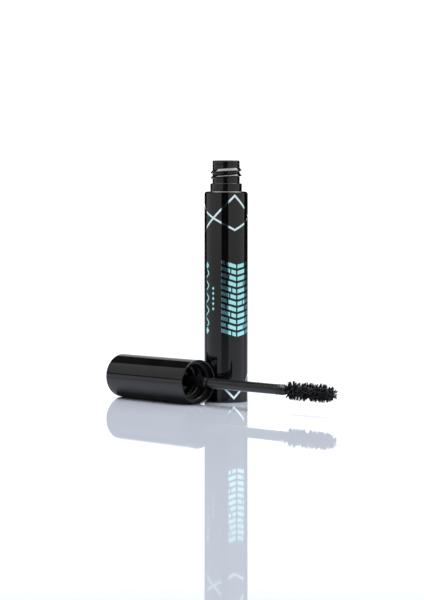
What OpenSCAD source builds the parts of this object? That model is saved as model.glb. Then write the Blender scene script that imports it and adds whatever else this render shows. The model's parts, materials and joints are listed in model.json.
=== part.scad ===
// Mascara tube, opened: the bottle stands upright and the cap lies in front
// of it with its wand pointing along +X. Millimetres, +Z up, with the origin
// at the centre of the bottle's base.

/* [Bottle] */
// Outer diameter of the decorated sleeve
bottle_d = 18; // [17:0.5:18.5]
// Height of the sleeve, from the base to the shoulder
bottle_h = 86.8; // [75:0.2:110]
// Wall of the sleeve
sleeve_wall = 1; // [0.8:0.1:1.2]
// Radius of the rounded shoulder edge
shoulder_r = 1; // [0.4:0.1:1.2]
// Height of the product above the inside floor of the bottle
fill_h = 58; // [20:1:62]

/* [Neck] */
// Diameter of the collar at the foot of the neck
collar_d = 13.1; // [12.8:0.1:13.4]
// Height of the collar above the shoulder
collar_h = 3.3; // [2:0.1:4]
// Diameter of the neck between the threads
neck_d = 11.3; // [11:0.1:11.8]
// Height of the neck above the shoulder, with the wiper's flange
neck_h = 12.7; // [11.5:0.1:13.5]
// Bore of the neck
neck_bore_d = 9; // [8:0.1:9.2]
// Pitch of the screw thread
thread_pitch = 2.17; // [2.1:0.01:2.4]
// Outside diameter of the screw thread
thread_d = 12.9; // [12.4:0.1:13]

/* [Cap] */
// Outer diameter of the cap
cap_d = 18.2; // [18:0.1:19]
// Length of the cap
cap_l = 48.5; // [36:0.1:55]
// Wall of the cap shell
cap_wall = 1; // [0.8:0.1:1.2]
// Bore at the mouth of the inner cap, around the collar
mouth_d = 14.4; // [13.8:0.1:14.6]
// How far the inner cap sits back from the mouth
mouth_recess = 2.6; // [1.5:0.1:3]
// Place of the mouth along the wand's axis
mouth_x = 3.5; // [0:0.5:8]
// Gap between the lying cap and the bottle
lie_gap = 0.5; // [0.3:0.1:3]

/* [Wand] */
// Diameter of the stem at the cap
stem_root_d = 4.5; // [4.2:0.1:4.6]
// Diameter of the stem over most of its length
stem_d = 4.2; // [3.6:0.1:4.2]
// Length of the stem outside the cap
stem_l = 51; // [45:0.2:54]
// Diameter over the tips of the bristles
brush_d = 8.1; // [7:0.1:8.6]
// Length of the brush
brush_l = 26; // [20:0.5:28]
// Diameter over the twisted wire of the brush
wire_d = 1.2; // [0.9:0.1:1.4]

/* [Hidden] */
$fn = 96;

// Radii of the bottle
bottle_r = bottle_d / 2;
collar_r = collar_d / 2;
neck_r = neck_d / 2;
neck_bore_r = neck_bore_d / 2;
thread_r = thread_d / 2;
sleeve_bore_r = bottle_r - sleeve_wall;
sleeve_top = 1.2;            // thickness of the sleeve's shoulder
edge_r = 0.3;                // small rounding of moulded edges
press_gap = 0.05;            // gap between pieces that are pressed together
cut_over = 1;                // how far a cutting shape goes past the surface

// Inner bottle, from its floor to the top of the neck
inner_r = sleeve_bore_r - press_gap;
inner_wall = 1;
cavity_r = inner_r - inner_wall;
spigot_step = 0.35;
spigot_r = collar_r + spigot_step;  // fills the hole in the sleeve's shoulder
floor_z = 4;                 // underside of the inner bottle
cavity_z = floor_z + 1.3;    // inside floor of the inner bottle
cavity_foot_r = 2.5;         // rounding around the inside floor
cavity_top_r = 1.5;          // rounding under the shoulder, inside
shoulder_t = 3.5;            // thickness of the inner bottle's shoulder
outside_foot_r = 1;
inner_top = bottle_h - sleeve_top - press_gap;
neck_top = bottle_h + neck_h;
wiper_flange = 0.5;
neck_rim = neck_top - wiper_flange;
bead_z = neck_top - 1.6;     // fine groove under the rim of the neck
bead_r = 0.12;
rim_cut = 0.08;              // small bevel where the wiper's flange lies on the neck

// Thread on the neck: a right-hand ridge of almost one and three quarter turns
thread_turns = 1.72;
thread_z = bottle_h + 5.19;
thread_start = 180;
thread_fade = 25;            // degrees over which the ridge runs in and out at its ends
thread_crest = 0.35;         // width of the ridge at its top
thread_below = 0.6;          // how far the foot of the ridge reaches below its middle
thread_above = 1.45;         // and above it, where the flank is the flatter one
thread_steps = 48;           // rings in one turn
thread_sink = 0.3;           // how deep the foot of a ridge sits in its wall
thread_end = 0.12;           // height at the very ends, as a share of the full one

// Wiper
wiper_r = neck_bore_r - press_gap;
wiper_wall = 0.7;
wiper_edge_r = 0.12;
wiper_l = 11;
wiper_cone = 3;              // length of the cone that narrows to the orifice
wiper_step = 0.4;            // how far the cone's inside starts above its outside
lip_wall = 0.8;
orifice_r = 2.3;
orifice_l = 1.6;
wiper_end = neck_top - wiper_l;

// Base
label_t = 0.12;
plug_r = sleeve_bore_r - press_gap;
plug_t = 1.6;
plug_skirt = 2.2;
plug_wall = 1.2;
plug_cut = 0.2;              // bevel around the underside of the plug
label_rim = 0.6;             // plain rim of the plug around the label
label_r = plug_r - label_rim;
fill_dip = 3;                // how much lower the product is at the middle than at the wall

// Cap and wand: radii, and places along the wand's axis from the mouth
cap_r = cap_d / 2;
cap_bore_r = cap_r - cap_wall;
cap_end = -cap_l;
cap_edge_r = 0.8;            // rounding of the closed end
cap_end_t = 1.2;             // thickness of the closed end
rim_wall = 0.5;              // wall of the shell at its mouth, in front of the inner cap
rim_edge_r = 0.2;
rim_cut_in = 0.1;            // bevel around the inside of the mouth
seat_t = 0.9;                // thickness of the inner cap's flange, in the wider mouth
rim_bore_r = cap_r - rim_wall;
seat = -mouth_recess - seat_t;
insert_r = cap_bore_r - press_gap;
mouth_r = mouth_d / 2;
collar_depth = 6.1;          // depth of the bore around the collar, from the mouth of the cap
thread_gap = 0.3;            // between the ridge on the neck and the cap's wall
crest_gap = 0.35;            // between the ridge in the cap and the neck
cap_thread_bore_r = thread_r + thread_gap;
cap_thread_crest_r = neck_r + crest_gap;
cap_thread_turns = 1.35;
cap_thread_rise = 3.9;       // from the face that the liner lies on to the foot of the thread
liner_room = 1.1;            // left for the liner when the cap is on the neck
neck_stop = -(neck_h + liner_room);  // face that the liner lies on
socket_l = 12;
socket_end = neck_stop - socket_l;
insert_wall = 1.2;
insert_cut = 0.15;           // bevel around the inner cap's bore
web_t = 0.3;                 // wall left under the stem's flange
stem_seat = neck_stop - insert_wall + web_t;
socket_slack = 0.5;          // empty length at the bottom of the socket
collar_cut = 0.5;            // cone between the collar's bore and the thread's bore
liner_t = 0.9;
liner_gap = 0.1;
liner_edge = 0.15;           // gap to the thread around the liner
liner_hole = 0.2;            // gap to the stem inside it

stem_root_r = stem_root_d / 2;
stem_r = stem_d / 2;
stem_plug_r = 2.6;
stem_plug_cut = 0.4;
stem_flange_r = 3.4;
stem_step = 5;               // length of the thicker stretch at the mouth
stem_blend = 1.5;            // length of the cone between the thicker stretch and the rest
stem_taper = 2.4;            // length of the cone at the brush
stem_tip_r = 1.5;
wire_r = wire_d / 2;
wire_grip = 7;               // how far the hole for the wire goes into the stem
wire_back = 0.2;             // and how much of it the wire leaves empty
brush_r = brush_d / 2;
brush_x = stem_l;
brush_end = brush_x + brush_l;
brush_gap = 0.3;             // bare wire between the stem and the bristles
brush_root = 0.86;           // length beside the stem, as a share of the full one
brush_shoulder = 2;          // where the bristles reach their full length
brush_nose = 7;              // length of the rounded tip
brush_drop = 1.6;            // how much shorter the bristles are at the tip
wire_tip = 0.8;

wand_y = -(bottle_r + cap_r + lie_gap);
wand_z = cap_r;

// ---- helpers ----

// Places a shape drawn along +Z on the wand's axis, so that +Z becomes +X
// and zero is at the mouth of the cap.
module on_wand() {
    translate([mouth_x, wand_y, wand_z]) rotate([0, 90, 0]) children();
}

// Cross-section of a thread ridge at one ring. An inward ridge is listed the
// other way up, so that the faces of both kinds look outwards.
function ridge(angle, z, foot_r, crest_r) =
    let (up = crest_r > foot_r ? 1 : -1)
    [for (p = [[foot_r, -up * thread_below], [crest_r, -up * thread_crest / 2],
               [crest_r, up * thread_crest / 2], [foot_r, up * thread_above]])
        [p[0] * cos(angle), p[0] * sin(angle), z + p[1]]];

// Height of the ridge, as a share of the full one, at a share t of its length.
function run_in(t, turns) = min(1, t * turns * 360 / thread_fade, (1 - t) * turns * 360 / thread_fade);

// Helical ridge from foot_r to crest_r, with its lower end at z = 0.
module thread_ridge(foot_r, crest_r, turns, start) {
    rings = round(turns * thread_steps);
    rows = [for (i = [0 : rings])
        ridge(start + 360 * turns * i / rings, thread_pitch * turns * i / rings, foot_r,
              foot_r + (crest_r - foot_r)
              * (thread_end + (1 - thread_end) * run_in(i / rings, turns)))];
    points = [for (row = rows) for (p = row) p];
    sides = [for (i = [0 : rings - 1]) for (k = [0 : 3])
        [4 * i + k, 4 * i + (k + 1) % 4, 4 * (i + 1) + (k + 1) % 4, 4 * (i + 1) + k]];
    ends = [[3, 2, 1, 0], [4 * rings, 4 * rings + 1, 4 * rings + 2, 4 * rings + 3]];
    polyhedron(points, concat(sides, ends), convexity = 6);
}

// Points of a quarter circle about a centre, from one angle to another.
function arc(cx, cz, r, a0, a1, n = 8) = [
    for (i = [0 : n]) [cx + r * cos(a0 + (a1 - a0) * i / n), cz + r * sin(a0 + (a1 - a0) * i / n)]
];

// ---- bottle ----

// Decorated outer tube, open below, with a hole for the collar in its shoulder.
module outer_sleeve() {
    color("#0c0c0e") rotate_extrude() polygon(concat(
        [[sleeve_bore_r, 0]],
        arc(bottle_r - edge_r, edge_r, edge_r, -90, 0),
        arc(bottle_r - shoulder_r, bottle_h - shoulder_r, shoulder_r, 0, 90),
        [[spigot_r + press_gap, bottle_h], [spigot_r + press_gap, bottle_h - sleeve_top],
         [sleeve_bore_r, bottle_h - sleeve_top]]
    ));
}

// Bottle that holds the product, with its collar, neck and thread.
module inner_bottle() {
    color("#101012") union() {
        rotate_extrude() polygon(concat(
            [[0, floor_z]],
            arc(inner_r - outside_foot_r, floor_z + outside_foot_r, outside_foot_r, -90, 0),
            [[inner_r, inner_top], [spigot_r, inner_top], [spigot_r, bottle_h], [collar_r, bottle_h]],
            arc(collar_r - edge_r, bottle_h + collar_h - edge_r, edge_r, 0, 90),
            [[neck_r, bottle_h + collar_h], [neck_r, bead_z - bead_r], [neck_r - bead_r, bead_z],
             [neck_r, bead_z + bead_r], [neck_r, neck_rim - rim_cut], [neck_r - rim_cut, neck_rim],
             [neck_bore_r, neck_rim], [neck_bore_r, inner_top - shoulder_t]],
            arc(cavity_r - cavity_top_r, inner_top - shoulder_t - cavity_top_r, cavity_top_r, 90, 0),
            arc(cavity_r - cavity_foot_r, cavity_z + cavity_foot_r, cavity_foot_r, 0, -90),
            [[0, cavity_z]]
        ));
        translate([0, 0, thread_z])
            thread_ridge(neck_r - thread_sink, thread_r, thread_turns, thread_start);
    }
}

// Soft insert that wipes the stem and the brush: flange, tube and orifice lip.
module wiper() {
    color("#d8d8d4") rotate_extrude() polygon(concat(
        [[orifice_r, wiper_end], [orifice_r + lip_wall, wiper_end], [wiper_r, wiper_end + wiper_cone],
         [wiper_r, neck_rim], [neck_r - rim_cut, neck_rim]],
        arc(neck_r - wiper_edge_r, neck_top - wiper_edge_r, wiper_edge_r, 0, 90),
        [[wiper_r - wiper_wall, neck_top], [wiper_r - wiper_wall, wiper_end + wiper_cone + wiper_step],
         [orifice_r, wiper_end + orifice_l]]
    ));
}

// Plug that closes the bottom of the sleeve, with a skirt for its grip.
module base_plug() {
    color("#111113") rotate_extrude() polygon([
        [0, label_t], [plug_r - plug_cut, label_t], [plug_r, label_t + plug_cut],
        [plug_r, label_t + plug_t + plug_skirt], [plug_r - plug_wall, label_t + plug_t + plug_skirt],
        [plug_r - plug_wall, label_t + plug_t], [0, label_t + plug_t]
    ]);
}

// Blank round sticker under the base.
module base_label() {
    color("#2b2b2e") cylinder(r = label_r, h = label_t);
}

// Product in the bottle.
module mascara_formula() {
    color("#050505") rotate_extrude() polygon(concat(
        [[0, cavity_z + press_gap]],
        arc(cavity_r - cavity_foot_r, cavity_z + cavity_foot_r, cavity_foot_r - press_gap, -90, 0),
        [[cavity_r - press_gap, cavity_z + fill_h], [0, cavity_z + fill_h - fill_dip]]
    ));
}

// ---- cap and wand ----

// Outer cap: a gloss cup with a plain rounded end.
module cap_shell() {
    color("#0c0c0e") on_wand() rotate_extrude() polygon(concat(
        [[0, cap_end]],
        arc(cap_r - cap_edge_r, cap_end + cap_edge_r, cap_edge_r, -90, 0),
        arc(cap_r - rim_edge_r, -rim_edge_r, rim_edge_r, 0, 90),
        [[rim_bore_r + rim_cut_in, 0], [rim_bore_r, -rim_cut_in], [rim_bore_r, seat], [cap_bore_r, seat],
         [cap_bore_r, cap_end + cap_end_t], [0, cap_end + cap_end_t]]
    ));
}

// Moulded insert of the cap: mouth, internal thread, liner seat and stem socket.
module inner_cap() {
    face = -mouth_recess;
    flange_r = rim_bore_r - press_gap;
    color("#161618") on_wand() union() {
        rotate_extrude() polygon([
            [mouth_r + insert_cut, face], [flange_r, face], [flange_r, seat + press_gap],
            [insert_r, seat + press_gap], [insert_r, neck_stop - insert_wall],
            [stem_plug_r + insert_wall, neck_stop - insert_wall],
            [stem_plug_r + insert_wall, socket_end], [stem_plug_r + press_gap, socket_end],
            [stem_plug_r + press_gap, stem_seat], [stem_flange_r + press_gap, stem_seat],
            [stem_flange_r + press_gap, neck_stop], [cap_thread_bore_r, neck_stop],
            [cap_thread_bore_r, -collar_depth],
            [mouth_r, -collar_depth + collar_cut], [mouth_r, face - insert_cut]
        ]);
        translate([0, 0, neck_stop + cap_thread_rise])
            thread_ridge(cap_thread_bore_r + thread_sink, cap_thread_crest_r, cap_thread_turns, 0);
    }
}

// Loose sealing washer that lies against the face above the neck.
module cap_liner() {
    color("#e6e4de") on_wand() translate([0, 0, neck_stop + liner_gap]) difference() {
        cylinder(r = cap_thread_crest_r - liner_edge, h = liner_t);
        translate([0, 0, -cut_over]) cylinder(r = stem_root_r + liner_hole, h = liner_t + 2 * cut_over);
    }
}

// Rod between the cap and the brush, with its flange and plug in the socket.
module stem() {
    plug_end = socket_end + socket_slack;
    color("#0b0b0c") on_wand() difference() {
        rotate_extrude() polygon([
            [0, plug_end], [stem_plug_r - stem_plug_cut, plug_end],
            [stem_plug_r, plug_end + stem_plug_cut], [stem_plug_r, stem_seat + press_gap],
            [stem_flange_r, stem_seat + press_gap], [stem_flange_r, neck_stop],
            [stem_root_r, neck_stop], [stem_root_r, stem_step], [stem_r, stem_step + stem_blend],
            [stem_r, brush_x - stem_taper], [stem_tip_r, brush_x], [0, brush_x]
        ]);
        translate([0, 0, brush_x - wire_grip]) 
            cylinder(r = wire_r + press_gap, h = wire_grip + cut_over);
    }
}

// Twisted wire that holds the bristles, as the round space it fills.
module brush_core() {
    color("#7d7f84") on_wand() translate([0, 0, brush_x - wire_grip + wire_back])
        cylinder(r = wire_r, h = wire_grip - wire_back + brush_l + wire_tip);
}

// Space filled by the bristles: full from the stem on, and rounded at the tip.
module brush_bristles() {
    core_r = wire_r + press_gap;
    color("#080808") on_wand() rotate_extrude() polygon(concat(
        [[core_r, brush_x + brush_gap], [brush_r * brush_root, brush_x + brush_gap],
         [brush_r, brush_x + brush_shoulder]],
        [for (a = [0 : 10 : 90])
            [brush_r - brush_drop * (1 - cos(a)), brush_end - brush_nose * (1 - sin(a))]],
        [[core_r, brush_end]]
    ));
}

outer_sleeve();
inner_bottle();
wiper();
base_plug();
base_label();
mascara_formula();
cap_shell();
inner_cap();
cap_liner();
stem();
brush_core();
brush_bristles();
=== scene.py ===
"""Looks of an opened mascara: gloss bottle with foil ornament, cap, stem and loaded brush.

Everything is in metres, in the CAD's frame: the bottle stands at the origin along +Z,
and the wand lies in front of it along +X.
"""
import json
import math

import bmesh
import bpy
import numpy as np
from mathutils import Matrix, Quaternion, Vector
from mathutils.geometry import delaunay_2d_cdt


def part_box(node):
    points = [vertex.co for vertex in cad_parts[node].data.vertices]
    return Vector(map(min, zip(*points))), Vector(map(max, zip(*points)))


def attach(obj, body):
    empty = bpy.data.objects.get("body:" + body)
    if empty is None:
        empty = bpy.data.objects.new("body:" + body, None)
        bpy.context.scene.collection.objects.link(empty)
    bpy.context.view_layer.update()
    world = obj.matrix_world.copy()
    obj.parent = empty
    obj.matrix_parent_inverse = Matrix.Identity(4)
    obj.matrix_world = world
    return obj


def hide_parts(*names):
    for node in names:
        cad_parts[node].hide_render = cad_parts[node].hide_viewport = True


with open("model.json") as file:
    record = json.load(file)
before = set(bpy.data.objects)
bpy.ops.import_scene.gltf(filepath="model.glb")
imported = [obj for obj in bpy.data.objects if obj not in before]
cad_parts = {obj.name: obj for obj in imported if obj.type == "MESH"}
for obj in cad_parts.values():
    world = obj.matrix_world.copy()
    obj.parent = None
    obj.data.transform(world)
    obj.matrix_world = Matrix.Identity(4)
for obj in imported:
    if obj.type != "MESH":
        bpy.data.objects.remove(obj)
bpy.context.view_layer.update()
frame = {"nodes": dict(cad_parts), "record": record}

MM = 0.001
SCENE = bpy.context.scene


# ---------------------------------------------------------------- frame measures

def span(node):
    """Lowest and highest corner of a CAD node as two numpy arrays."""
    low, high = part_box(node)
    return np.array(low), np.array(high)


SLEEVE_LOW, SLEEVE_HIGH = span("outer_sleeve")
SLEEVE_R = (SLEEVE_HIGH[0] - SLEEVE_LOW[0]) / 2
SHOULDER_Z = SLEEVE_HIGH[2]
CAP_LOW, CAP_HIGH = span("cap_shell")
WAND_Y, WAND_Z = ((CAP_LOW + CAP_HIGH) / 2)[1:]
STEM_END = span("stem")[1][0]
BRUSH_LOW, BRUSH_HIGH = span("brush_bristles")
BRUSH_R = (BRUSH_HIGH[2] - BRUSH_LOW[2]) / 2
CORE_LOW, CORE_HIGH = span("brush_core")
CORE_R = (CORE_HIGH[2] - CORE_LOW[2]) / 2
STEM_R = 2.1 * MM           # the stem over most of its length
STEM_TIP_R = 1.5 * MM       # and at the brush
STEM_CONE = 2.4 * MM        # length of the cone between the two

CAMERA_AZIMUTH = math.radians(47)
TOWARDS_CAMERA = Vector((math.sin(CAMERA_AZIMUTH), -math.cos(CAMERA_AZIMUTH), 0))
CAMERA_RIGHT = Vector((math.cos(CAMERA_AZIMUTH), math.sin(CAMERA_AZIMUTH), 0))


# ---------------------------------------------------------------- material helpers

class Surface:
    """A Principled material with short calls for the procedural nodes that feed it."""

    def __init__(self, name, roughness, **constants):
        self.material = bpy.data.materials.new(name)
        self.material.use_nodes = True
        self.tree = self.material.node_tree
        self.shader = self.tree.nodes["Principled BSDF"]
        self.shader.inputs["Roughness"].default_value = roughness
        for socket, value in constants.items():
            self.shader.inputs[socket.replace("_", " ")].default_value = value
        self.place = self.tree.nodes.new("ShaderNodeTexCoord").outputs["Object"]
        self.normal = None

    def node(self, kind, **settings):
        made = self.tree.nodes.new(kind)
        for key, value in settings.items():
            setattr(made, key, value)
        return made

    def stretch(self, x, y, z):
        """The object's coordinates, scaled along each axis."""
        mapping = self.node("ShaderNodeMapping")
        mapping.inputs["Scale"].default_value = (x, y, z)
        self.tree.links.new(self.place, mapping.inputs["Vector"])
        return mapping.outputs["Vector"]

    def noise(self, size, detail=3.0, rough=0.5, place=None):
        """Noise with features of about this size in metres."""
        made = self.node("ShaderNodeTexNoise")
        made.inputs["Scale"].default_value = 1 / size
        made.inputs["Detail"].default_value = detail
        made.inputs["Roughness"].default_value = rough
        self.tree.links.new(place or self.place, made.inputs["Vector"])
        return made.outputs["Fac"]

    def span(self, value, low, high, from_low=0.35, from_high=0.65):
        """Maps a noise value to a range."""
        made = self.node("ShaderNodeMapRange")
        made.inputs["From Min"].default_value = from_low
        made.inputs["From Max"].default_value = from_high
        made.inputs["To Min"].default_value = low
        made.inputs["To Max"].default_value = high
        self.tree.links.new(value, made.inputs["Value"])
        return made.outputs["Result"]

    def colours(self, value, *stops):
        """Base colour from a value through a ramp of (position, colour)."""
        node = self.node("ShaderNodeValToRGB")
        ramp = node.color_ramp
        for i, (position, colour) in enumerate(stops):
            stop = ramp.elements[i] if i < 2 else ramp.elements.new(position)
            stop.position = position
            stop.color = (*colour, 1)
        self.tree.links.new(value, node.inputs["Fac"])
        self.tree.links.new(node.outputs["Color"], self.shader.inputs["Base Color"])

    def rough(self, value):
        self.tree.links.new(value, self.shader.inputs["Roughness"])

    def bump(self, value, height, strength=1.0):
        """Adds relief of this height in metres on top of any earlier relief."""
        made = self.node("ShaderNodeBump")
        made.inputs["Strength"].default_value = strength
        made.inputs["Distance"].default_value = height
        self.tree.links.new(value, made.inputs["Height"])
        if self.normal is not None:
            self.tree.links.new(self.normal, made.inputs["Normal"])
        self.normal = made.outputs["Normal"]
        self.tree.links.new(self.normal, self.shader.inputs["Normal"])


# ---------------------------------------------------------------- materials

def gloss_lacquer():
    """Deep black lacquer: faint waviness, and haze from handling."""
    s = Surface("gloss_black", 0.04, IOR=1.42)
    s.colours(s.noise(9 * MM, 5), (0.35, (0.0022, 0.0022, 0.0026)), (0.7, (0.0042, 0.0042, 0.0050)))
    s.rough(s.span(s.noise(5 * MM, 7, 0.62), 0.025, 0.075))
    s.bump(s.noise(2.4 * MM, 1), 0.0010 * MM)
    s.bump(s.noise(0.05 * MM, 2), 0.00012 * MM)
    return s.material


def moulded_black(name, low, high, grain):
    """Moulded black plastic: a fine grain and slow changes of sheen."""
    s = Surface(name, (low + high) / 2, IOR=1.42)
    s.colours(s.noise(4 * MM, 4), (0.3, (0.0035, 0.0035, 0.004)), (0.75, (0.0085, 0.0085, 0.0095)))
    s.rough(s.span(s.noise(1.3 * MM, 6), low, high))
    s.bump(s.noise(1.8 * MM, 1), 0.0016 * MM)
    s.bump(s.noise(0.09 * MM, 2), grain)
    return s.material


def foil(name, red):
    """Hot-stamped mint foil: a metal film with fine pitting and uneven sheen."""
    s = Surface(name, 0.08, Metallic=1.0)
    s.colours(s.noise(1.1 * MM, 6, 0.6), (0.25, (red * 0.8, 0.80, 0.84)), (0.55, (red, 0.90, 0.93)),
              (0.85, (red * 1.2, 0.96, 0.98)))
    s.rough(s.span(s.noise(0.35 * MM, 4), 0.05, 0.13))
    s.bump(s.noise(0.08 * MM, 3), 0.0004 * MM)
    return s.material


def soft_elastomer():
    """Soft dark insert, wetted by the product."""
    s = Surface("wiper_soft", 0.35, IOR=1.48)
    s.colours(s.noise(1.5 * MM, 4), (0.3, (0.012, 0.012, 0.013)), (0.7, (0.026, 0.026, 0.028)))
    s.rough(s.span(s.noise(0.8 * MM, 5), 0.22, 0.5))
    s.bump(s.noise(0.12 * MM, 2), 0.004 * MM)
    return s.material


def spark_plastic():
    """Plug under the bottle, with the matte texture of an eroded mould."""
    s = Surface("plug_black", 0.5, IOR=1.48)
    s.colours(s.noise(2 * MM, 4), (0.3, (0.010, 0.010, 0.011)), (0.7, (0.018, 0.018, 0.020)))
    s.rough(s.span(s.noise(0.6 * MM, 4), 0.4, 0.6))
    s.bump(s.noise(0.11 * MM, 3), 0.012 * MM)
    return s.material


def label_film():
    """Blank satin sticker with a slight orange peel."""
    s = Surface("label_film", 0.3, IOR=1.46)
    s.colours(s.noise(0.5 * MM, 5), (0.3, (0.030, 0.031, 0.034)), (0.7, (0.044, 0.045, 0.050)))
    s.rough(s.span(s.noise(0.9 * MM, 3), 0.24, 0.38))
    s.bump(s.noise(0.4 * MM, 3), 0.003 * MM)
    return s.material


def wet_product():
    """Thick black mascara: lumpy, glossy where it is wet."""
    s = Surface("formula_black", 0.4, IOR=1.36, Coat_Weight=0.08, Coat_Roughness=0.12)
    s.colours(s.noise(0.7 * MM, 5), (0.3, (0.0012, 0.0012, 0.0013)), (0.75, (0.0042, 0.0040, 0.0042)))
    s.rough(s.span(s.noise(0.45 * MM, 5), 0.3, 0.65))
    s.bump(s.noise(0.35 * MM, 4), 0.04 * MM)
    return s.material


def liner_foam():
    """White closed-cell foam, painted mostly dark: partly product that has touched it, partly painted shade
    of the deep hollow it lines.
    """
    s = Surface("liner_white", 0.6, IOR=1.4)
    # the dark end of this ramp is partly product and partly painted shade of the hollow
    s.colours(s.noise(1.1 * MM, 6, 0.6), (0.35, (0.02, 0.02, 0.022)), (0.55, (0.10, 0.10, 0.10)),
              (0.75, (0.62, 0.61, 0.58)))
    s.bump(s.noise(0.18 * MM, 3), 0.02 * MM)
    s.rough(s.span(s.noise(0.6 * MM, 3), 0.5, 0.75))
    return s.material


def drawn_wire():
    """Stainless wire, with marks from drawing along it and product in the grooves."""
    s = Surface("wire_steel", 0.3, Metallic=1.0)
    s.colours(s.noise(0.5 * MM, 6, 0.6), (0.32, (0.05, 0.05, 0.05)), (0.6, (0.40, 0.40, 0.42)))
    s.rough(s.span(s.noise(0.12 * MM, 3, place=s.stretch(0.1, 1, 1)), 0.2, 0.45))
    s.bump(s.noise(0.06 * MM, 2, place=s.stretch(0.1, 1, 1)), 0.002 * MM)
    return s.material


def nylon_fibre():
    """Black nylon fibre coated with product, drier towards its tip."""
    s = Surface("bristle_black", 0.45, IOR=1.36)
    s.colours(s.noise(0.6 * MM, 4), (0.3, (0.0010, 0.0010, 0.0011)), (0.75, (0.0035, 0.0034, 0.0035)))
    s.rough(s.span(s.noise(0.3 * MM, 4), 0.3, 0.62))
    s.bump(s.noise(0.05 * MM, 3), 0.008 * MM)
    return s.material


MATERIALS = {
    "gloss_black": gloss_lacquer(),
    "neck_black": moulded_black("neck_black", 0.07, 0.16, 0.0008 * MM),
    "insert_black": moulded_black("insert_black", 0.25, 0.42, 0.003 * MM),
    "stem_black": moulded_black("stem_black", 0.10, 0.18, 0.0005 * MM),
    "wiper_soft": soft_elastomer(),
    "plug_black": spark_plastic(),
    "label_film": label_film(),
    "formula_black": wet_product(),
    "liner_white": liner_foam(),
    "wire_steel": drawn_wire(),
    "bristle_black": nylon_fibre(),
    "foil_mint": foil("foil_mint", 0.42),
}
PALE_FOIL = foil("foil_pale", 0.72)


# ---------------------------------------------------------------- carried-over CAD nodes

SMOOTH_LIMIT = math.radians(32)
WELD_DISTANCE = 1e-6        # metres


def smooth_by_angle(limit):
    """Modifier group that shades smooth across edges flatter than the limit."""
    group = bpy.data.node_groups.new("smooth_by_angle", "GeometryNodeTree")
    group.interface.new_socket("Geometry", in_out="INPUT", socket_type="NodeSocketGeometry")
    group.interface.new_socket("Geometry", in_out="OUTPUT", socket_type="NodeSocketGeometry")
    make, link = group.nodes.new, group.links.new
    start, end = make("NodeGroupInput"), make("NodeGroupOutput")
    angle, flat = make("GeometryNodeInputMeshEdgeAngle"), make("FunctionNodeCompare")
    flat.data_type, flat.operation = "FLOAT", "LESS_THAN"
    flat.inputs["B"].default_value = limit
    faces, edges = make("GeometryNodeSetShadeSmooth"), make("GeometryNodeSetShadeSmooth")
    faces.domain, edges.domain = "FACE", "EDGE"
    link(start.outputs[0], faces.inputs["Geometry"])
    link(faces.outputs[0], edges.inputs["Geometry"])
    link(angle.outputs["Unsigned Angle"], flat.inputs["A"])
    link(flat.outputs["Result"], edges.inputs["Shade Smooth"])
    link(edges.outputs[0], end.inputs[0])
    return group


def finish_cad_nodes():
    """Gives each CAD node its material, and smooth shading over its rounded edges."""
    slots = {s["node"]: s["material_slot"] for s in frame["record"]["subparts"]}
    group = smooth_by_angle(SMOOTH_LIMIT)
    for name, node in frame["nodes"].items():
        node.data.materials.clear()
        node.data.materials.append(MATERIALS[slots[name]])
        weld = node.modifiers.new("weld", "WELD")
        weld.merge_threshold = WELD_DISTANCE
        node.modifiers.new("smooth", "NODES").node_group = group
        node.modifiers.new("even", "WEIGHTED_NORMAL").keep_sharp = True


# ---------------------------------------------------------------- mesh helpers

def add_piece(name, verts, faces, body, slot, replaces=(), smooth=True):
    """Makes a mesh object with its material and says which CAD body it rides on."""
    mesh = bpy.data.meshes.new(name)
    mesh.from_pydata([tuple(v) for v in verts], [], [tuple(f) for f in faces])
    mesh.validate()
    mesh.polygons.foreach_set("use_smooth", [smooth] * len(mesh.polygons))
    mesh.materials.append(MATERIALS[slot])
    piece = bpy.data.objects.new(name, mesh)
    SCENE.collection.objects.link(piece)
    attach(piece, body)
    if replaces:
        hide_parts(*replaces)
    return piece


def ring_faces(rings, sides, start=0):
    """Side faces of a tube whose vertices are listed ring by ring."""
    faces = []
    for i in range(rings - 1):
        for k in range(sides):
            a, b = start + i * sides + k, start + i * sides + (k + 1) % sides
            faces.append((a, b, b + sides, a + sides))
    return faces


def closed_tube_faces(rings, sides, start=0):
    """Faces of such a tube with both of its ends closed."""
    last = start + (rings - 1) * sides
    ends = [tuple(range(start + sides - 1, start - 1, -1)), tuple(range(last, last + sides))]
    return ring_faces(rings, sides, start) + ends


def capped_tube(path, radii, sides, start=0, turn=0.0):
    """Vertices and faces of a closed round tube along a path."""
    path = np.asarray(path)
    along = np.gradient(path, axis=0)
    along /= np.linalg.norm(along, axis=1)[:, None]
    helper = np.array([0.0, 0.0, 1.0]) if abs(along[0][2]) < 0.9 else np.array([0.0, 1.0, 0.0])
    verts = []
    for point, tangent, radius in zip(path, along, radii):
        u = np.cross(helper, tangent)
        u /= np.linalg.norm(u)
        v = np.cross(tangent, u)
        helper = v
        angles = turn + np.arange(sides) * (2 * math.pi / sides)
        verts.extend(point + radius * (np.cos(a) * u + np.sin(a) * v) for a in angles)
    return verts, closed_tube_faces(len(path), sides, start)


# ---------------------------------------------------------------- foil ornament

FOIL_RISE = 0.025 * MM      # how proud the film stands
FOIL_SINK = 0.02 * MM       # how deep its back sits in the lacquer
FOIL_STEP = math.radians(2.5)       # the film is cut this often to follow the sleeve's curve
FOIL_MERGE = 1e-4           # points this close are one, in mm
FOIL_CUT = 1e-5             # points this close to a cut lie on it, in mm
MITRE_LIMIT = 0.35          # stops the corner of a sharp bend from reaching far out


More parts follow.
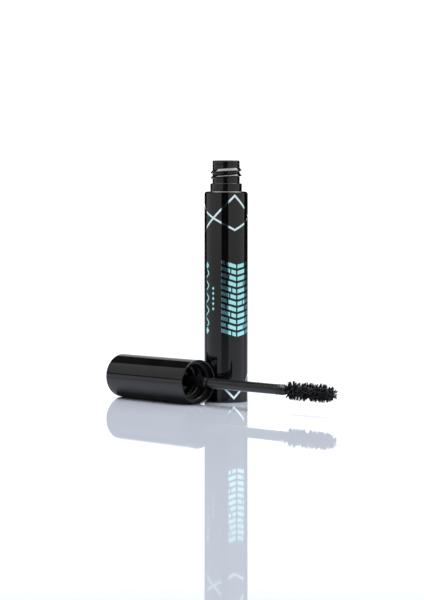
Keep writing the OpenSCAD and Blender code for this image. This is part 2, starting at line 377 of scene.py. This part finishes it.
def ribbon(points, width, closed=False):
    """Flat outline polygons of a line with mitred corners: one quad for each stretch.
    A closed line goes round the sleeve and meets its first point again."""
    points = [np.array(p, float) for p in points]
    count = len(points)
    sides = []
    for i, p in enumerate(points):
        before = points[i - 1] if i else (points[-2] - points[-1] + points[0] if closed else None)
        after = points[i + 1] if i + 1 < count else (points[1] - points[0] + points[-1] if closed else None)
        ins = (p - before) if before is not None else (after - p)
        out = (after - p) if after is not None else ins
        ins, out = ins / np.linalg.norm(ins), out / np.linalg.norm(out)
        normal = np.array([-(ins + out)[1], (ins + out)[0]])
        normal /= np.linalg.norm(normal)
        reach = width / 2 / max(MITRE_LIMIT, float(np.dot(normal, [-out[1], out[0]])))
        sides.append((p + normal * reach, p - normal * reach))
    return [[sides[i][0], sides[i][1], sides[i + 1][1], sides[i + 1][0]] for i in range(count - 1)]


def diamond(centre, half_width, half_height):
    u, z = centre
    return [(u - half_width, z), (u, z - half_height), (u + half_width, z), (u, z + half_height)]


def flat_film(polygons):
    """Joins flat polygons into one sheet, in mm, cut where it will bend round the sleeve."""
    verts, faces = [], []
    for polygon in polygons:
        faces.append(list(range(len(verts), len(verts) + len(polygon))))
        verts.extend(Vector((p[0] / MM, p[1] / MM)) for p in polygon)
    places, _, pieces, _, _, sources = delaunay_2d_cdt(verts, [], faces, 1, FOIL_MERGE)
    bm = bmesh.new()
    corners = [bm.verts.new((v.x, v.y, 0)) for v in places]
    for face, source in zip(pieces, sources):
        if source:              # the others are holes that the lines enclose
            bm.faces.new([corners[i] for i in face])
    bmesh.ops.dissolve_limit(bm, angle_limit=0.01, verts=bm.verts[:], edges=bm.edges[:])
    step = FOIL_STEP * SLEEVE_R / MM
    low = min(v.co.x for v in bm.verts)
    high = max(v.co.x for v in bm.verts)
    for k in range(math.ceil(low / step), math.floor(high / step) + 1):
        bmesh.ops.bisect_plane(bm, geom=bm.verts[:] + bm.edges[:] + bm.faces[:], dist=FOIL_CUT,
                               plane_co=(k * step, 0, 0), plane_no=(1, 0, 0))
    bmesh.ops.remove_doubles(bm, verts=bm.verts[:], dist=FOIL_MERGE)
    bmesh.ops.delete(bm, geom=[v for v in bm.verts if not v.link_faces], context="VERTS")
    bmesh.ops.recalc_face_normals(bm, faces=bm.faces[:])
    if bm.faces[:] and sum(f.normal.z for f in bm.faces) < 0:
        bmesh.ops.reverse_faces(bm, faces=bm.faces[:])
    bm.verts.index_update()
    return bm


def wrap_foil(name, polygons, material=None):
    """Turns flat polygons (distance round the sleeve, height) into one film on the sleeve."""
    bm = flat_film(polygons)
    count = len(bm.verts)
    sheets = []
    for radius in (SLEEVE_R + FOIL_RISE, SLEEVE_R - FOIL_SINK):
        for v in bm.verts:
            angle = v.co.x * MM / SLEEVE_R
            spot = TOWARDS_CAMERA * math.cos(angle) + CAMERA_RIGHT * math.sin(angle)
            sheets.append((spot.x * radius, spot.y * radius, v.co.y * MM))
    solid = []
    for f in bm.faces:
        loop = [v.index for v in f.verts]
        solid.append(loop)
        solid.append([i + count for i in reversed(loop)])
    for e in bm.edges:
        if len(e.link_faces) == 1:
            face = e.link_faces[0]
            loop = [v.index for v in face.verts]
            a, b = e.verts[0].index, e.verts[1].index
            if loop[(loop.index(a) + 1) % len(loop)] != b:
                a, b = b, a
            solid.append([b, a, a + count, b + count])
    bm.free()
    piece = add_piece(name, sheets, solid, "bottle", "foil_mint", smooth=False)
    if material:
        piece.data.materials[0] = material
    return piece


def around(degrees):
    """Distance round the sleeve, in metres, from the side that faces the camera."""
    return math.radians(degrees) * SLEEVE_R


LINE_W = 0.78 * MM
SEAM = 0.01 * MM            # gap where a film that goes all the way round meets itself
KITES = ((23, 117), (145.5, 127), (267, 116))     # middle of each kite and its width, in degrees


def top_lattice():
    """Chain of kites below the shoulder, made by two crossing zigzags."""
    join = SHOULDER_Z - 11.0 * MM
    reach = ((9.15, 4.9), (5.8, 9.2), (5.6, 8.6))     # each kite's rise and drop, in mm
    upper, lower = [], []
    for (middle, width), (rise, drop) in zip(KITES, reach):
        left, centre = around(middle - width / 2), around(middle)
        upper += [(left, join), (centre, join + rise * MM)]
        lower += [(left, join), (centre, join - drop * MM)]
    close = [(around(KITES[0][0] - KITES[0][1] / 2 + 360) - SEAM, join)]
    lines = ribbon(upper + close, LINE_W, True) + ribbon(lower + close, LINE_W, True)
    return wrap_foil("foil_lattice_top", lines, PALE_FOIL)


def bottom_zigzag():
    """Zigzag along the foot of the sleeve."""
    low, high = 1.9 * MM, 11.2 * MM
    shift = 2                   # degrees to the left of the kites above
    points = []
    for middle, width in KITES:
        points += [(around(middle - width / 2 - shift), high), (around(middle - shift), low)]
    points.append((around(KITES[0][0] - KITES[0][1] / 2 + 360 - shift) - SEAM, high))
    return wrap_foil("foil_zigzag_bottom", ribbon(points, LINE_W, True), PALE_FOIL)


def feather_columns():
    """Two columns of slanting slats that meet in a herringbone. A slit parts each slat in two,
    at a place that changes from row to row."""
    low, high = 27.2 * MM, 58.6 * MM
    rows, slat, slant = 12, 1.55 * MM, 1.9 * MM
    pitch = (high - low - slat - slant) / (rows - 1)
    spine, gap, half_slit = around(29), 0.35 * MM, 0.28 * MM
    polygons = []
    for row in range(rows):
        z = low + row * pitch
        for side, column in ((-1, 6.2 * MM), (1, 8.6 * MM)):
            inner, outer = spine + side * gap, spine + side * (gap + column)
            cut = inner + (outer - inner) * (0.30 + 0.40 * ((row * 5 + (side > 0) * 3) % 7) / 6)
            slit = half_slit * side
            for start, end in ((inner, cut - slit), (cut + slit, outer)):
                a = (start - inner) / (outer - inner) * slant
                b = (end - inner) / (outer - inner) * slant
                polygons.append([(start, z + a), (end, z + b),
                                 (end, z + b + slat), (start, z + a + slat)])
    return wrap_foil("foil_feather", polygons)


def side_ornament():
    """Thin wave with a diamond at each end, and a row of small diamonds beside it."""
    centre, low, high = around(-58), 31.5 * MM, 54.5 * MM
    steps, swing, waves = 72, 0.95 * MM, 4.5
    small, first, pitch = 5, 38.6, 2.1                # the small diamonds; places in mm
    wave = [(centre + swing * math.sin(2 * math.pi * waves * i / steps),
             low + (high - low) * i / steps) for i in range(steps + 1)]
    polygons = ribbon(wave, 0.5 * MM)
    polygons += [diamond((centre, z), 1.1 * MM, 1.5 * MM) for z in (low - 1.9 * MM, high + 1.9 * MM)]
    polygons += [diamond((around(-36), (first + pitch * i) * MM), 0.55 * MM, 0.75 * MM)
                 for i in range(small)]
    return wrap_foil("foil_side_wave", polygons)


# ---------------------------------------------------------------- wand

TWIST = 2.6 * MM            # length of wire for one turn of the twist
HAND = -1                   # the twist is left-handed


def on_wand(x, radius, angle):
    """Point at a distance along +X, a radius from the wand's axis and an angle round it."""
    return np.array([x, WAND_Y + radius * math.cos(angle), WAND_Z + radius * math.sin(angle)])


def twisted_wire():
    """Two strands twisted together, from inside the stem to the bare tip."""
    strand = CORE_R / 2
    steps, clearance, end_share = 190, 0.985, 0.8     # the ends are a little thinner
    verts, faces = [], []
    for phase in (0, math.pi):
        path = [on_wand(x, strand, phase + HAND * 2 * math.pi * (x - CORE_LOW[0]) / TWIST)
                for x in np.linspace(CORE_LOW[0], CORE_HIGH[0], steps)]
        radii = np.full(steps, strand * clearance)
        radii[[0, -1]] *= end_share
        more = capped_tube(path, radii, 10, len(verts))
        verts += more[0]
        faces += more[1]
    return add_piece("twisted_wire", verts, faces, "wand", "wire_steel", ["brush_core"])


STRAY = 0.1                 # share of the fibres that no clump has drawn in


def envelope(t):
    """Length of the bristles as a share of the longest, where t is 0 at the stem and 1 at the tip."""
    return min(1.0, 0.88 + 2.4 * t, 1.0 - 0.42 * max(0.0, (t - 0.74) / 0.26) ** 2)


def bristles():
    """Fibres held between the strands: they leave in two opposite rows that turn with the
    wire, and the product draws their tips together into clumps."""
    rng = np.random.default_rng(7)
    count, sides = 3300, 4
    taper = np.array([1.3, 1.15, 1.0, 0.8, 0.4])      # thickness from root to tip
    root_spread, tip_spread = 0.5, 0.03               # radians
    along_spread = 0.08                               # mm
    start, length = BRUSH_LOW[0] + 0.25 * MM, (BRUSH_HIGH[0] - BRUSH_LOW[0]) - 0.7 * MM
    tufts = 250
    tuft_t = (np.arange(tufts) + rng.random(tufts)) / tufts
    tuft_a = rng.random(tufts) * 2 * math.pi
    tuft_pull = 0.72 + 0.25 * rng.random(tufts)
    tuft_reach = 0.86 + 0.14 * rng.random(tufts)
    verts, faces = [], []
    for i in range(count):
        t = (i + rng.random()) / count
        root_angle = HAND * 2 * math.pi * t * length / TWIST + math.pi * (i % 2)
        root_angle += rng.normal(0, root_spread)
        gap = np.angle(np.exp(1j * (tuft_a - root_angle)))
        distance = (tuft_t - t) ** 2 * (length / BRUSH_R) ** 2 + gap ** 2 * 0.8
        tuft = int(np.argmin(distance))
        pull = tuft_pull[tuft] if rng.random() > STRAY else 0.3 * rng.random()
        tip_t = t + (tuft_t[tuft] - t) * pull
        tip_angle = root_angle + gap[tuft] * pull + rng.normal(0, tip_spread)
        radius = BRUSH_R * envelope(min(1, max(0, tip_t))) * tuft_reach[tuft]
        radius *= 1 - 0.13 * rng.random() ** 2
        root = on_wand(start + t * length, CORE_R * 0.55, root_angle)
        tip = on_wand(start + tip_t * length + rng.normal(0, along_spread) * MM, radius * 0.985, tip_angle)
        middle_angle = root_angle + gap[tuft] * pull * 0.3
        middle = on_wand(start + (t + (tip_t - t) * 0.35) * length, radius * 0.55, middle_angle)
        s = np.linspace(0, 1, len(taper))[:, None]
        path = (1 - s) ** 2 * root + 2 * s * (1 - s) * middle + s ** 2 * tip
        thick = (0.07 + 0.03 * rng.random()) * MM
        more = capped_tube(path, thick * taper, sides, len(verts), rng.random() * math.pi)
        verts += more[0]
        faces += more[1]
    return add_piece("bristles", verts, faces, "wand", "bristle_black", ["brush_bristles"])


def lumps(seed, count, size):
    """A smooth lumpy function of (distance along, angle) made of random round bumps."""
    rng = np.random.default_rng(seed)
    where = rng.random(count)
    angle = rng.random(count) * 2 * math.pi
    height = 0.4 + 0.6 * rng.random(count)

    def value(t, a, aspect):
        gap = np.angle(np.exp(1j * (angle - a)))
        far = ((where - t) * aspect) ** 2 + gap ** 2
        return float(np.max(height * np.exp(-far / size ** 2)))
    return value


def brush_product():
    """Product packed between the roots of the fibres, with ridges that follow the twist."""
    rows, sides = 210, 56
    start, end = BRUSH_LOW[0] - 0.15 * MM, BRUSH_HIGH[0] - 0.3 * MM
    big, small = lumps(3, 90, 0.42), lumps(4, 420, 0.16)
    aspect = (end - start) / BRUSH_R * 1.6
    base, ridge_rise, big_rise, small_rise = 0.33, 0.15, 0.12, 0.06       # shares of the brush's radius
    verts = []
    for i in range(rows):
        t = i / (rows - 1)
        ends = min(1, 9 * t, 14 * (1 - t))
        for k in range(sides):
            a = 2 * math.pi * k / sides
            ridge = abs(math.cos(a - HAND * 2 * math.pi * t * (end - start) / TWIST)) ** 3
            body = base + ridge_rise * ridge
            body += big_rise * big(t, a, aspect)
            body += small_rise * small(t, a, aspect)
            radius = CORE_R * 1.05 + (BRUSH_R * body * envelope(t) - CORE_R) * ends ** 0.5
            verts.append(on_wand(start + t * (end - start), radius, a))
    faces = closed_tube_faces(rows, sides)
    return add_piece("brush_product", verts, faces, "wand", "formula_black")


def product_in_bottle():
    """Thick product that has kept the hollow left by the brush, and clings to the wall."""
    low, high = span("mascara_formula")
    wall, sides = (high[0] - low[0]) / 2, 72
    crest = lumps(11, 26, 0.5)
    rounding, inset = 2.4 * MM, 0.15    # of the lower edge; the foot starts this angle into the round
    cling_depth, hollow_depth, swirl_height = 2.6 * MM, 2.2 * MM, 0.35 * MM
    across, reach = 26, 0.985           # rings over the surface, and how near they come to the axis
    rings = [(wall - rounding * (1 - math.sin(a)), low[2] + rounding * (1 - math.cos(a)))
             for a in np.linspace(inset, math.pi / 2, 8)]
    verts = [(r * math.cos(a), r * math.sin(a), z) for r, z in rings
             for a in np.linspace(0, 2 * math.pi, sides, endpoint=False)]
    for i in range(across):
        inward = i / (across - 1)
        for a in np.linspace(0, 2 * math.pi, sides, endpoint=False):
            cling = -cling_depth * (1 - crest(0.5, a, 1)) * (1 - inward) ** 2
            hollow = -hollow_depth * min(1, inward * 1.6) ** 2
            swirl = swirl_height * math.sin(3 * a + 9 * inward) * inward * (1 - inward) * 4
            radius = wall * (1 - reach * inward)
            verts.append((radius * math.cos(a), radius * math.sin(a), high[2] + cling + hollow + swirl))
    faces = closed_tube_faces(len(rings) + across, sides)
    return add_piece("formula", verts, faces, "bottle", "formula_black", ["mascara_formula"])


def wiper_smear():
    """Product left on the wiper: a film with a ragged top inside its tube, thickest half way up."""
    rim = span("wiper")[1][2]
    bore, bottom = 3.75 * MM, rim - 7.2 * MM
    sunk, back = 0.03 * MM, 0.06 * MM   # how deep the film's ends and its back sit in the wiper
    edge, thick = lumps(21, 30, 0.33), lumps(22, 120, 0.2)
    rows, sides = 30, 96

    def ragged_top(a):
        return rim - (0.35 + 1.3 * edge(0.4, a, 1)) * MM

    verts = []
    for i in range(rows):
        t = i / (rows - 1)
        for k in range(sides):
            a = 2 * math.pi * k / sides
            top = ragged_top(a)
            film = 0.05 + 0.34 * thick(t, a, 3) * math.sin(math.pi * t) ** 0.5
            inner = bore - film * MM if 0 < i < rows - 1 else bore + sunk
            verts.append((inner * math.cos(a), inner * math.sin(a), bottom + (top - bottom) * t))
    outer = len(verts)
    for t in (0, 1):
        for k in range(sides):
            a = 2 * math.pi * k / sides
            r = bore + back
            verts.append((r * math.cos(a), r * math.sin(a), ragged_top(a) if t else bottom))
    faces = [f[::-1] for f in ring_faces(rows, sides)]
    faces += ring_faces(2, sides, outer)
    for k in range(sides):
        n = (k + 1) % sides
        last = (rows - 1) * sides
        faces.append((k, n, outer + n, outer + k))
        faces.append((last + n, last + k, outer + sides + k, outer + sides + n))
    return add_piece("wiper_smear", verts, faces, "bottle", "formula_black")


def blob(place, out, along, size, height, seed):
    """Flattened drop on a surface: a ragged dome whose foot sinks in slightly."""
    rng = np.random.default_rng(seed)
    side = np.cross(out, along)
    rows, sides, sink = 6, 18, 0.06 * MM
    wobble = 1 + 0.16 * np.sin(2 * np.arange(sides) * 2 * math.pi / sides + rng.random() * 6)
    wobble += 0.10 * np.sin(5 * np.arange(sides) * 2 * math.pi / sides + rng.random() * 6)
    verts = []
    for i in range(rows):
        reach, rise = math.cos(i / rows * math.pi / 2), math.sin(i / rows * math.pi / 2)
        for k in range(sides):
            a = 2 * math.pi * k / sides
            flat = size * reach * wobble[k] * (np.cos(a) * along + 0.8 * np.sin(a) * side)
            drop = float(np.dot(flat, side)) ** 2 / (2 * STEM_R)
            verts.append(place + flat + out * (height * rise - drop - sink))
    verts.append(place + out * (height - sink))
    faces = ring_faces(rows, sides)
    faces.append(tuple(range(sides - 1, -1, -1)))
    tip = len(verts) - 1
    faces += [((rows - 1) * sides + k, (rows - 1) * sides + (k + 1) % sides, tip) for k in range(sides)]
    return verts, faces


def stem_residue():
    """Drops of product on the stem."""
    # distance back from the stem's end in mm, degrees round the stem, size in mm
    drops = ((10.6, 30, 0.50), (7.3, 26, 0.62), (5.0, 18, 0.48), (6.2, 140, 0.5), (8.9, 250, 0.42),
             (13.2, 200, 0.36), (4.6, 300, 0.55), (15.8, 95, 0.3))
    height, first_seed = 0.2 * MM, 40
    verts, faces = [], []
    for i, (back, degrees, size) in enumerate(drops):
        a = math.radians(180 - degrees)
        out = np.array([0.0, math.cos(a), math.sin(a)])
        more = blob(on_wand(STEM_END - back * MM, STEM_R, a), out, np.array([1.0, 0.0, 0.0]),
                    size * MM, height, first_seed + i)
        faces += [tuple(j + len(verts) for j in f) for f in more[1]]
        verts += more[0]
    return add_piece("stem_residue", verts, faces, "wand", "formula_black")


def stem_coat():
    """Uneven coat on the cone of the stem, where the wiper leaves the product behind."""
    rows, sides = 34, 48
    rough = lumps(31, 160, 0.22)
    start, end = STEM_END - 4.4 * MM, STEM_END + 0.3 * MM
    sunk = 0.12 * MM            # how deep both ends of the coat sit in the stem
    verts = []
    for i in range(rows):
        t = i / (rows - 1)
        x = start + t * (end - start)
        cone = min(1, max(0, (STEM_END - x) / STEM_CONE))
        core = STEM_TIP_R + (STEM_R - STEM_TIP_R) * cone
        for k in range(sides):
            a = 2 * math.pi * k / sides
            film = (0.02 + 0.24 * rough(t, a, 1.6)) * MM * min(1, 1.6 * t)
            ends = -sunk if i in (0, rows - 1) else 0
            verts.append(on_wand(x, core + film * (0.25 + 0.75 * t) + ends, a))
    faces = closed_tube_faces(rows, sides)
    return add_piece("stem_coat", verts, faces, "wand", "formula_black")


finish_cad_nodes()
top_lattice()
bottom_zigzag()
feather_columns()
side_ornament()
twisted_wire()
bristles()
brush_product()
product_in_bottle()
wiper_smear()
stem_residue()
stem_coat()


# ---------------------------------------------------------------- studio

def studio_floor():
    """Pale gloss sheet that mirrors the object."""
    s = Surface("floor", 0.02, IOR=1.45)
    s.shader.inputs["Base Color"].default_value = (0.40, 0.43, 0.49, 1)
    s.rough(s.span(s.noise(0.2, 2), 0.012, 0.03))
    bpy.ops.mesh.primitive_plane_add(size=12)
    floor = bpy.context.object
    floor.name = "floor"
    floor.data.materials.append(s.material)


def softbox(name, place, target, size, radiance):
    """Rectangular area light that shines at the target with the given radiance. When it
    shines straight down, the first of its two sizes runs along the camera's right."""
    light = bpy.data.lights.new(name, "AREA")
    light.shape = "RECTANGLE"
    light.size, light.size_y = size
    light.energy = radiance * math.pi * size[0] * size[1]
    lamp = bpy.data.objects.new(name, light)
    SCENE.collection.objects.link(lamp)
    lamp.location = place
    lamp.rotation_mode = "QUATERNION"
    lamp.rotation_quaternion = (Vector(target) - Vector(place)).to_track_quat("-Z", "Y")
    lamp.rotation_quaternion @= Quaternion((0, 0, 1), CAMERA_AZIMUTH)
    return lamp


# White walls of the studio, each with its name, the azimuth of its middle, half its width,
# its lowest and highest elevation, all in degrees, and its radiance. Azimuths are measured
# from the direction of the camera, positive to its right.
WALLS = (
    ("back", 180, 14, 12, 36, 0.75),
    ("back_low", 180, 14, -90, 12, 1.3),
    ("left", -73.8, 49.2, 8.5, 46, 0.66),
    ("left_low", -73.8, 49.2, -90, 5.5, 0.92),
    ("right", 61.9, 49.1, -90, 50, 0.93),
)
DARK = 0.004                # radiance between the walls
SIDE_SOFT, TOP_SOFT, FOOT_SOFT = 1.2, 1.5, 0.8      # softness of their edges in degrees


def studio_world():
    """White walls with dark gaps between them, as a gloss surface mirrors them.
    What the camera sees directly is plain white."""
    world = bpy.data.worlds.new("studio")
    world.use_nodes = True
    SCENE.world = world
    tree = world.node_tree
    make, link = tree.nodes.new, tree.links.new

    def maths(operation, a, b=None, c=None):
        made = make("ShaderNodeMath")
        made.operation = operation
        for socket, value in zip(made.inputs, (a, b, c)):
            if value is None:
                continue
            if isinstance(value, (int, float)):
                socket.default_value = value
            else:
                link(value, socket)
        return made.outputs[0]

    def soft_step(value, edge, softness):
        """0 below the edge, 1 above it."""
        made = make("ShaderNodeMapRange")
        made.interpolation_type = "SMOOTHSTEP"
        made.inputs["From Min"].default_value = edge - softness
        made.inputs["From Max"].default_value = edge + softness
        link(value, made.inputs["Value"])
        return made.outputs["Result"]

    ways = make("ShaderNodeSeparateXYZ")
    link(make("ShaderNodeTexCoord").outputs["Generated"], ways.inputs[0])
    x, y, z = ways.outputs
    right = maths("ADD", maths("MULTIPLY", x, CAMERA_RIGHT.x), maths("MULTIPLY", y, CAMERA_RIGHT.y))
    near = maths("ADD", maths("MULTIPLY", x, TOWARDS_CAMERA.x), maths("MULTIPLY", y, TOWARDS_CAMERA.y))
    elevation = maths("MULTIPLY", maths("ARCSINE", z), 180 / math.pi)
    total = None
    for _, middle, half, low, high, radiance in WALLS:
        m = math.radians(middle)
        ahead = maths("ADD", maths("MULTIPLY", near, math.cos(m)), maths("MULTIPLY", right, math.sin(m)))
        aside = maths("SUBTRACT", maths("MULTIPLY", right, math.cos(m)),
                      maths("MULTIPLY", near, math.sin(m)))
        off = maths("MULTIPLY", maths("ABSOLUTE", maths("ARCTAN2", aside, ahead)), 180 / math.pi)
        wall = maths("SUBTRACT", 1, soft_step(off, half, SIDE_SOFT))
        wall = maths("MULTIPLY", wall, maths("SUBTRACT", 1, soft_step(elevation, high, TOP_SOFT)))
        wall = maths("MULTIPLY", wall, soft_step(elevation, low, FOOT_SOFT))
        wall = maths("MULTIPLY", wall, radiance)
        total = wall if total is None else maths("MAXIMUM", total, wall)
    total = maths("MAXIMUM", total, DARK)
    seen = maths("MAXIMUM", total, make("ShaderNodeLightPath").outputs["Is Camera Ray"])
    background = tree.nodes["Background"]
    background.inputs["Color"].default_value = (1, 1, 1, 1)
    link(seen, background.inputs["Strength"])


def studio_lights():
    """A wide softbox over the object, and a weak fill that the gloss surfaces don't mirror."""
    back, right, height = 0.16, 0.065, 0.95
    place = TOWARDS_CAMERA * -back + CAMERA_RIGHT * right + Vector((0, 0, height))
    softbox("overhead", place, place - Vector((0, 0, 1)), (1.35, 0.82), 10)
    fill = softbox("floor_fill", Vector((0, 0, 1.6)), (0, 0, 0), (2.4, 2.4), 0.3)
    fill.visible_glossy = False


def studio_camera():
    """Camera in front of the object, aimed slightly down and a little left of the bottle's axis."""
    distance, height, focal = 0.8, 0.075, 116.0
    aim_left, aim_height = 5.83 * MM, 41.9 * MM
    data = bpy.data.cameras.new("camera")
    data.lens = focal
    data.sensor_width = 36
    camera = bpy.data.objects.new("camera", data)
    SCENE.collection.objects.link(camera)
    place = TOWARDS_CAMERA * distance + Vector((0, 0, height))
    aim = CAMERA_RIGHT * -aim_left + Vector((0, 0, aim_height))
    camera.location = place
    camera.rotation_mode = "QUATERNION"
    camera.rotation_quaternion = (aim - place).to_track_quat("-Z", "Y")
    SCENE.camera = camera


studio_floor()
studio_world()
studio_lights()
studio_camera()
SCENE.view_settings.view_transform = "Standard"
